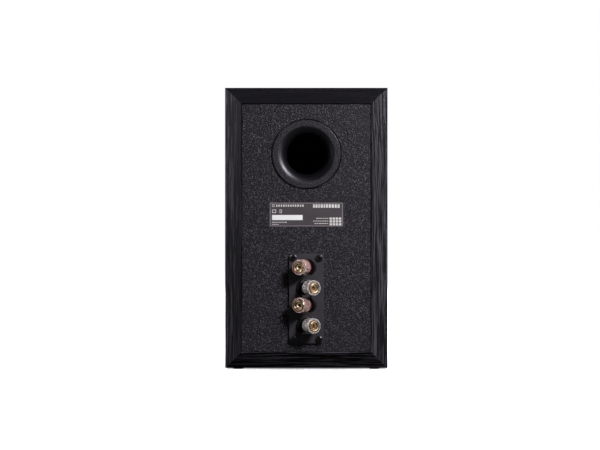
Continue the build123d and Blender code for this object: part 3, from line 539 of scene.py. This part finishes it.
LEFT_COLUMN = -37.6
RIGHT_COLUMN = 7.4
SMALL_PRINT = 0.75
SQUARE_W, SQUARE_H = 2.6, 2.3
SQUARE_STEP_U, SQUARE_STEP_V = 3.4, 3.1
marks = []
dashes(marks, -33.2, -1.0, 8.6, 10.9, (1.2, 1.9), 1.1)
frame_of_bars(marks, LEFT_COLUMN, -34.9, 8.5, 11.1, 0.5)
dashes(marks, RIGHT_COLUMN, 37.3, 7.4, 11.2, (1.5, 2.6), 0.9)
frame_of_bars(marks, LEFT_COLUMN, -33.3, 1.7, 5.5, 0.7)
frame_of_bars(marks, -29.4, -26.9, 1.7, 5.5, 0.6)
for left, right, level in (
    (LEFT_COLUMN, -21.2, -8.9),
    (LEFT_COLUMN, -30.5, -11.2),
    (11.0, 24.4, -4.6),
    (RIGHT_COLUMN, 24.0, -7.5),
    (9.0, 23.8, -10.2),
):
    dashes(marks, left, right, level, level + SMALL_PRINT, (0.9, 2.6), 0.5)
for row in range(3):
    for column in range(4):
        u, v = 25.5 + SQUARE_STEP_U * column, -11.8 + SQUARE_STEP_V * row
        printed(marks, u, u + SQUARE_W, v, v + SQUARE_H)
print_piece("label_print", marks, label_ink)

strip = []
printed(strip, -37.7, -4.1, -6.1, -0.5)
print_piece("label_serial_strip", strip, strip_ink)

BORDER_LINE = 0.45
BORDER_INSET = 0.9
border = []
half_w = 500 * (label_high.x - label_low.x) - BORDER_INSET
half_h = 500 * (label_high.z - label_low.z) - BORDER_INSET
frame_of_bars(border, -half_w, half_w, -half_h, half_h, BORDER_LINE)
border_ink = moulded("label_border_ink", (0.24, 0.23, 0.23), (0.34, 0.33, 0.33), 0.5, 0.0004, 0.000005)
print_piece("label_border", border, border_ink)


# ---- terminal plate ----
# Injection-moulded plate in smooth matt black, held by four dark self-tapping
# screws on a foam gasket. Its wells take the collars of the posts.

plate_black = moulded(
    "terminal_plate_moulding", (0.0225, 0.0208, 0.0236), (0.0300, 0.0286, 0.0315), 0.5, 0.0007, 0.00002,
)
coat(plate_black, "terminal_plate")
gasket_foam = moulded("gasket_foam", (0.008, 0.008, 0.008), (0.02, 0.02, 0.02), 0.95, 0.0005, 0.0002)
coat(gasket_foam, "terminal_gasket")
screw_black = moulded(
    "blackened_screw", (0.0012, 0.0012, 0.0014), (0.003, 0.003, 0.0034), 0.3, 0.0004, 0.00002,
    {"Coat Weight": 1.0, "Coat Roughness": 0.14},
)
coat(screw_black, "terminal_screws", "woofer_screws", "tweeter_screws")


# ---- binding posts ----
# Gold-plated brass posts in glossy black collars. On each runs a knob: a turned and
# plated nut in a clear fluted sleeve, over a red or black ring. Behind the plate are
# the nylon washer, the solder tag and the hexagonal nut.

def plated(name, dark, light, rough):
    """Bright plating with the turning marks of the lathe still faintly in it."""
    material, place = begin(name)
    marks = place.scaled((1.0, 6.0, 1.0)).noise(700.0, 3.0)
    wear = place.noise(210.0, 3.0)
    return end(material, {
        "Base Color": wear.between(0.3, 0.7).shade((*dark, 1), (*light, 1)),
        "Metallic": 1.0,
        "Roughness": rough * 0.75 + wear * (rough * 0.5),
        "Normal": marks.bump(0.00002),
    })


coat(plated("gold_plating", (0.50, 0.37, 0.22), (0.80, 0.63, 0.42), 0.34), "post_shafts")

POST_LEAN = math.radians(25.0)
PAINTED_FACE_RING = 0.0021
PAINTED_SLEEVE_RING = 0.0027


def seen_from_post(place, n):
    """Place counted from the middle of a post's nut, and the direction of the post."""
    low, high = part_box(f"post_{n}_nut")
    lean = POST_LEAN if n % 2 else -POST_LEAN
    axis = (math.sin(lean), math.cos(lean), 0.0)
    return place.moved(tuple(-(a + b) / 2 for a, b in zip(low, high))), axis


def off_axis(arm, axis):
    return arm.node("ShaderNodeVectorMath", {"operation": "CROSS_PRODUCT"}, {0: arm, 1: axis}).length()


def along_axis(arm, axis):
    return arm.node("ShaderNodeVectorMath", {"operation": "DOT_PRODUCT"}, {0: arm, 1: axis}, out="Value")


def ripple(distance, pitch):
    """A smooth wave from 0 to 1 that repeats every pitch metres."""
    phase = distance * (2 * math.pi / pitch)
    return 0.5 + 0.5 * phase.node("ShaderNodeMath", {"operation": "SINE"}, {0: phase})


def gold_painted_rings(n):
    """Gold plating whose end is painted with bright and dark rings: painted highlights and painted shade
    in place of turned rings.
    """
    material, place = begin(f"gold_painted_rings_{n}")
    # painted highlight and shade: rings from near-black brown to bright gold across the nut's end
    rings = ripple(off_axis(*seen_from_post(place, n)), PAINTED_FACE_RING)
    return end(material, {
        "Base Color": rings.shade((0.12, 0.06, 0.025, 1), (0.95, 0.76, 0.50, 1)),
        "Metallic": 1.0,
        "Roughness": 0.24 + 0.12 * rings,
        "Normal": rings.bump(0.00018),
    })


def clear(n, shade, tint):
    """Clear plastic with painted glints, and painted bright rings that stand for the turned nut seen
    through it.
    """
    material, place = begin(f"clear_sleeve_{n}")
    arm, axis = seen_from_post(place, n)
    swirl = place.noise(760.0, 3.0).between(0.36, 0.64)
    rings = ripple(along_axis(arm, axis) + 0.6 * off_axis(arm, axis), PAINTED_SLEEVE_RING)
    # painted glints and painted rings in the sleeve's colour
    glint = swirl * (0.35 + 0.65 * rings)
    return end(material, {
        "Base Color": glint.shade((*shade, 1), (*tint, 1)),
        "Roughness": 0.05 + 0.12 * swirl,
        "IOR": 1.49,
        "Transmission Weight": 0.42,
        "Normal": glint.bump(0.0005),
    })


coat(moulded("collar_gloss", (0.002, 0.0026, 0.002), (0.005, 0.006, 0.005), 0.16, 0.002, 0.00001,
             {"Coat Weight": 0.5, "Coat Roughness": 0.06}), "post_base_bushes")
ring_red = moulded("ring_red", (0.15, 0.010, 0.016), (0.22, 0.018, 0.026), 0.2, 0.0012, 0.00001)
ring_black = moulded("ring_black", (0.009, 0.009, 0.010), (0.016, 0.016, 0.017), 0.2, 0.0012, 0.00001)
# painted colour: the red ring under the sleeve is painted into the clear plastic of the red posts
PAINTED_RED_THROUGH = ((0.22, 0.11, 0.08), (1.0, 0.80, 0.68))
PAINTED_PALE_GLINT = ((0.32, 0.28, 0.23), (1.0, 1.0, 0.95))
for n in range(1, 5):
    coat(gold_painted_rings(n), f"post_{n}_nut")
    coat(ring_red if n % 2 else ring_black, f"post_{n}_colour_ring")
    coat(clear(n, *(PAINTED_RED_THROUGH if n % 2 else PAINTED_PALE_GLINT)), f"post_{n}_sleeve")

coat(moulded("nylon", (0.58, 0.57, 0.52), (0.70, 0.69, 0.64), 0.45, 0.0015, 0.00002),
     "post_insulating_washers", "crossover_standoffs")
coat(plated("tinned_brass", (0.55, 0.54, 0.50), (0.70, 0.68, 0.62), 0.38), "post_solder_tags")
zinc = plated("zinc_plating", (0.50, 0.50, 0.49), (0.66, 0.66, 0.67), 0.32)
coat(zinc, "post_hex_nuts")


# ---- woofer ----
# Pressed and painted basket, spun aluminium trim ring, woven cone with a pressed
# dust cap, half-roll rubber surround and a corrugated cloth spider. The surround and
# the spider join the cone to the basket.

coat(moulded("basket_powder_coat", (0.014, 0.014, 0.015), (0.022, 0.022, 0.023), 0.55, 0.0007, 0.00005),
     "woofer_basket")

woofer_low, woofer_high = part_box("woofer_cone")
woofer_x = (woofer_low.x + woofer_high.x) / 2
woofer_z = (woofer_low.z + woofer_high.z) / 2


def spun_aluminium():
    """Bare aluminium with the fine rings of spinning, and a little stain."""
    material, place = begin("spun_aluminium")
    fine = radius_from(place, woofer_x, woofer_z) * 9000.0
    rings = fine.node("ShaderNodeTexNoise", {"noise_dimensions": "1D"}, {
        "W": fine, "Scale": 1.0, "Detail": 3.0,
    })
    stain = place.noise(60.0, 2.0)
    return end(material, {
        "Base Color": rings.shade((0.60, 0.60, 0.62, 1), (0.80, 0.80, 0.82, 1)),
        "Metallic": 1.0,
        "Roughness": 0.26 + 0.12 * stain,
        "Normal": rings.bump(0.00002),
    })


def woven_cone():
    """Fibres woven on the slant: warp on top in one check, weft in the next."""
    material, place = begin("woven_cone")
    turned = place.node("ShaderNodeVectorRotate", {"rotation_type": "Y_AXIS"}, {
        "Vector": place, "Angle": math.radians(45),
    })
    checker = turned.node("ShaderNodeTexChecker", {}, {"Vector": turned, "Scale": 605.0}, out=1)
    weave = turned.ridges("X", 95.0) * checker + turned.ridges("Z", 95.0) * (1.0 - checker)
    tone = 0.75 * weave + 0.25 * place.noise(1800.0, 2.0)
    return end(material, {
        "Base Color": tone.shade((0.008, 0.008, 0.009, 1), (0.040, 0.040, 0.045, 1)),
        "Roughness": 0.52 - 0.18 * weave,
        "Coat Weight": 0.2,
        "Coat Roughness": 0.3,
        "Normal": weave.bump(0.00018),
    })


coat(spun_aluminium(), "woofer_trim_ring")
coat(woven_cone(), "woofer_cone")
cap_black = moulded("pressed_cap", (0.014, 0.014, 0.016), (0.023, 0.023, 0.026), 0.42, 0.0009, 0.00004)
coat(cap_black, "woofer_dust_cap")


def outward(made):
    """Turns all the faces of a closed piece outwards."""
    work = bmesh.new()
    work.from_mesh(made.data)
    bmesh.ops.recalc_face_normals(work, faces=work.faces)
    work.to_mesh(made.data)
    work.free()


def turned_sheet(name, outline, turns, x, z, material):
    """A closed outline of (radius, depth) swept round the driver's axis, on no body."""
    points, faces = [], []
    count = len(outline)
    for step in range(turns):
        angle = 2 * math.pi * step / turns
        for r, y in outline:
            points.append((x + r * math.cos(angle), y, z + r * math.sin(angle)))
    for step in range(turns):
        here, there = step * count, ((step + 1) % turns) * count
        for i in range(count):
            j = (i + 1) % count
            faces.append([here + i, here + j, there + j, there + i])
    made = piece(name, points, faces, material, body=None)
    outward(made)
    return made


def bend_between(made, x, z, still_r, moving_r):
    """Bakes a sheet's transform and works out, for each vertex, a smooth weight between the two radii,
    which nothing keeps.
    """
    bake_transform(made)
    for vertex in made.data.vertices:
        r = math.hypot(vertex.co.x - x, vertex.co.z - z)
        t = min(max((still_r - r) / (still_r - moving_r), 0.0), 1.0)
        t * t * (3 - 2 * t)


SURROUND_SKIN = 0.0008
CONE_LIP = 0.0025
LIP_END = 0.0006
ROLL_FOOT = 0.0005
LEDGE_REACH = 0.0021
ROLL_STEPS = 14
ROLL_TURNS = 128
surround_low, surround_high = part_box("woofer_surround")
surround_r = (surround_high.x - surround_low.x) / 2
cone_r = (woofer_high.x - woofer_low.x) / 2
roll_r = surround_high.y - surround_low.y - SURROUND_SKIN
roll_mid = cone_r + roll_r
seat_y = surround_low.y + roll_r
seat_back = seat_y + SURROUND_SKIN


def half_circle(radius, y):
    """Points of the roll's front or back, from the cone outwards."""
    angles = [math.pi * i / ROLL_STEPS for i in range(ROLL_STEPS + 1)]
    return [(roll_mid - radius * math.cos(a), y - radius * math.sin(a)) for a in angles]


outline = [
    (cone_r - CONE_LIP, seat_y),
    (cone_r - LIP_END, seat_y),
    *half_circle(roll_r, seat_y),
    (roll_mid + roll_r + ROLL_FOOT, seat_y),
    (surround_r, seat_y),
    (surround_r, seat_back),
    *reversed(half_circle(roll_r - SURROUND_SKIN, seat_back)),
    (cone_r - CONE_LIP, seat_back),
]
rubber = moulded("surround_rubber", (0.010, 0.010, 0.0105), (0.019, 0.019, 0.020), 0.5, 0.0008, 0.00003)
surround = turned_sheet(
    "woofer_half_roll", outline, ROLL_TURNS, woofer_x, woofer_z, rubber,
)
still_r = roll_mid + roll_r - LEDGE_REACH
bend_between(surround, woofer_x, woofer_z, still_r, roll_mid - roll_r)
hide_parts("woofer_surround")

SPIDER_SKIN = 0.0006
SPIDER_WAVES = 5
SPIDER_FLAT = 0.003
WAVE_STEPS = 14
SPIDER_TURNS = 112
NECK_CLEAR = 0.0003
spider_low, spider_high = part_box("woofer_spider")
spider_r = (spider_high.x - spider_low.x) / 2
former_low, former_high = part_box("woofer_coil_former")
neck_r = (former_high.x - former_low.x) / 2 + NECK_CLEAR
spider_y = (spider_low.y + spider_high.y) / 2
wave_height = (spider_high.y - spider_low.y) / 2 - SPIDER_SKIN


def corrugated(y):
    """Points from the neck to the rim, waved between two flat bands."""
    points = [(neck_r, y)]
    steps = WAVE_STEPS * SPIDER_WAVES
    for i in range(steps + 1):
        r = neck_r + SPIDER_FLAT + (spider_r - neck_r - 2 * SPIDER_FLAT) * i / steps
        points.append((r, y + wave_height * math.sin(2 * math.pi * SPIDER_WAVES * i / steps)))
    return [*points, (spider_r, y)]


def spider_cloth():
    """Open cotton cloth stiffened with amber resin."""
    material, place = begin("spider_cloth")
    cloth = 0.5 * place.ridges("X", 260.0) + 0.5 * place.ridges("Z", 260.0)
    resin = place.noise(160.0, 3.0)
    return end(material, {
        "Base Color": (0.6 * cloth + 0.4 * resin).shade((0.30, 0.19, 0.07, 1), (0.60, 0.44, 0.22, 1)),
        "Roughness": 0.68 + 0.14 * resin,
        "Normal": cloth.bump(0.00012),
    })


outline = corrugated(spider_y - SPIDER_SKIN / 2) + corrugated(spider_y + SPIDER_SKIN / 2)[::-1]
spider = turned_sheet(
    "woofer_cloth_spider", outline, SPIDER_TURNS, woofer_x, woofer_z, spider_cloth(),
)
still_r = spider_r - SPIDER_FLAT
bend_between(spider, woofer_x, woofer_z, still_r, neck_r + SPIDER_FLAT)
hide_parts("woofer_spider")

coat(plated("coil_former_foil", (0.52, 0.42, 0.26), (0.66, 0.56, 0.38), 0.3), "woofer_coil_former")


def winding(name, turn, axis):
    """Enamelled copper wire laid side by side along one axis, one turn to each ridge."""
    material, place = begin(name)
    turns = place.ridges(axis, 2 * math.pi / (20 * turn))
    enamel = place.noise(300.0, 3.0)
    return end(material, {
        "Base Color": (0.7 * turns + 0.3 * enamel).shade((0.22, 0.065, 0.022, 1), (0.62, 0.27, 0.12, 1)),
        "Metallic": 0.85,
        "Roughness": 0.3 + 0.16 * enamel,
        "Normal": turns.bump(0.0001),
    })


coat(winding("coil_wire", 0.0008, "Y"), "woofer_coil_winding", "tweeter_coil")
ferrite = moulded("ferrite_magnet", (0.016, 0.016, 0.017), (0.038, 0.037, 0.037), 0.62, 0.0006, 0.00008)
coat(ferrite, "woofer_magnet", "tweeter_magnet")
# painted shade: the motor steel is made near black, so it stays dark where little light reaches inside
steel_painted_shade = moulded(
    "black_steel_painted_shade", (0.006, 0.006, 0.0065), (0.014, 0.014, 0.015), 0.6, 0.0008, 0.00003,
)
coat(steel_painted_shade, "woofer_top_plate", "woofer_yoke", "tweeter_top_plate", "tweeter_yoke")


# ---- tweeter ----
# Moulded faceplate with a shallow waveguide, a coated cloth dome with its coil, and a
# small ferrite motor.

coat(moulded("faceplate_moulding", (0.013, 0.013, 0.014), (0.020, 0.020, 0.021), 0.44, 0.0006, 0.00003),
     "tweeter_faceplate")


def coated_dome_cloth():
    """Fine cloth under a thin soft coating."""
    material, place = begin("coated_dome_cloth")
    cloth = 0.5 * place.ridges("X", 420.0) + 0.5 * place.ridges("Z", 420.0)
    coating = place.noise(500.0, 3.0)
    tone = 0.6 * cloth + 0.4 * coating
    return end(material, {
        "Base Color": tone.shade((0.010, 0.010, 0.011, 1), (0.036, 0.036, 0.040, 1)),
        "Roughness": 0.46 + 0.16 * coating,
        "Sheen Weight": 0.25,
        "Normal": cloth.bump(0.00006),
    })


coat(coated_dome_cloth(), "tweeter_dome")


# ---- crossover ----
# Glass-epoxy board on nylon pillars, with copper coils, wrapped film capacitors and
# cement resistors mounted on it.

laminate = moulded("board_laminate", (0.030, 0.095, 0.045), (0.055, 0.15, 0.075), 0.4, 0.0009, 0.00003)
coat(laminate, "crossover_board", "woofer_tag_strip")
coat(winding("inductor_wire", 0.0018, "Z"), "crossover_inductors")
coat(moulded("capacitor_film", (0.44, 0.30, 0.06), (0.62, 0.45, 0.12), 0.3, 0.003, 0.00005,
             {"Coat Weight": 0.4, "Coat Roughness": 0.12}), "crossover_capacitors")
coat(moulded("resistor_cement", (0.62, 0.60, 0.54), (0.80, 0.78, 0.72), 0.86, 0.0005, 0.00008),
     "crossover_resistors")


# ---- leads ----
# Stranded copper in plain black insulation, run from the terminals to the board and
# from the board to the two drivers.

coat(moulded("lead_insulation", (0.014, 0.014, 0.014), (0.030, 0.030, 0.031), 0.36, 0.002, 0.00004),
     "input_leads", "woofer_leads", "tweeter_leads")


# ---- studio ----
# White floor and surround that only the camera sees, with a painted grey shadow on the floor close to the
# feet.
# A small softbox stands above the viewer's right and a strip above each side, with two
# weak cards by the viewer and a fill for the front.

FLOOR_HALF = 4.0
SHADOW_INNER = 0.09
SHADOW_OUTER = 0.18


def studio_paper_painted_shadow():
    """Paper that glows white, but for a painted grey shadow under the loudspeaker."""
    material, place = begin("studio_paper_painted_shadow")
    mottle = place.noise(3.0, 2.0)
    # painted shadow: the glow is grey near the loudspeaker and fades to white between SHADOW_INNER and
    # SHADOW_OUTER
    away = place.scaled((1.0, 1.0, 0.0)).length().between(SHADOW_INNER, SHADOW_OUTER)
    return end(material, {
        "Base Color": mottle.shade((0.90, 0.90, 0.90, 1), (0.94, 0.94, 0.94, 1)),
        "Roughness": 0.9,
        "Specular IOR Level": 0.0,
        "Emission Color": away.shade((0.42, 0.42, 0.42, 1), (1.0, 1.0, 1.0, 1)),
        "Emission Strength": 1.0,
    })


work = bmesh.new()
bmesh.ops.create_grid(work, x_segments=2, y_segments=2, size=FLOOR_HALF)
floor_mesh = bpy.data.meshes.new("studio_floor")
work.to_mesh(floor_mesh)
work.free()
floor_mesh.materials.append(studio_paper_painted_shadow())
floor = bpy.data.objects.new("studio_floor", floor_mesh)
scene.collection.objects.link(floor)
floor.visible_diffuse = False
floor.visible_glossy = False
floor.visible_transmission = False

world = bpy.data.worlds.new("studio")
scene.world = world
world.use_nodes = True
seen = Value(world.node_tree).node("ShaderNodeLightPath", out="Is Camera Ray")
fill = seen.shade((0.035, 0.034, 0.037, 1), (1.0, 1.0, 1.0, 1))
world.node_tree.links.new(fill.socket, world.node_tree.nodes["Background"].inputs["Color"])


def softbox(name, at, towards, size, power, tint=(1.0, 1.0, 1.0)):
    """A rectangular lamp that faces a place. Its power is in watts."""
    lamp = bpy.data.lights.new(name, "AREA")
    lamp.shape = "RECTANGLE"
    lamp.size, lamp.size_y = size
    lamp.energy = power
    lamp.color = tint
    made = bpy.data.objects.new(name, lamp)
    made.location = at
    made.rotation_euler = (Vector(towards) - Vector(at)).to_track_quat("-Z", "Y").to_euler()
    scene.collection.objects.link(made)
    return made


COOL = (1.0, 0.955, 1.08)
KEY_DISTANCE = 0.95
KEY_SIZE = (0.22, 0.22)
STRIP_SIZE = (0.2, 0.3)
CARD_SIZE = (0.5, 0.5)
CARD_AIM = (0.0, 0.12, 0.09)
FILL_SIZE = (1.4, 1.0)
middle = Vector((0.0, 0.0, cad_middle[2]))
key_at = middle + Vector((-0.49, 0.74, 0.45)).normalized() * KEY_DISTANCE
softbox("key_softbox", key_at, middle, KEY_SIZE, 10.2, COOL)
softbox("left_strip", (0.60, 0.02, 0.64), (0.0, 0.02, 0.22), STRIP_SIZE, 9.2, COOL)
softbox("right_strip", (-0.50, 0.02, 0.72), (0.0, 0.02, 0.26), STRIP_SIZE, 6.4, COOL)
softbox("left_card", (1.25, 1.15, 0.2), CARD_AIM, CARD_SIZE, 0.9)
softbox("right_card", (-1.25, 1.15, 0.2), CARD_AIM, CARD_SIZE, 0.9)
softbox("front_fill", (0.5, -2.2, 1.2), (0.0, -0.1, 0.15), FILL_SIZE, 46.0)

VIEW_DISTANCE = 2.0
VIEW_WIDTH = 0.658
VIEW_ASIDE = 0.007
VIEW_HEIGHT = 0.160
SENSOR = 36.0
plate_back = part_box("terminal_plate")[1].y
camera_data = bpy.data.cameras.new("viewer")
camera_data.sensor_width = SENSOR
camera_data.lens = SENSOR * VIEW_DISTANCE / VIEW_WIDTH
camera = bpy.data.objects.new("viewer", camera_data)
camera.location = (VIEW_ASIDE, plate_back + VIEW_DISTANCE, VIEW_HEIGHT)
camera.rotation_euler = (math.radians(90), 0.0, math.radians(180))
scene.collection.objects.link(camera)
scene.camera = camera
scene.view_settings.view_transform = "Standard"
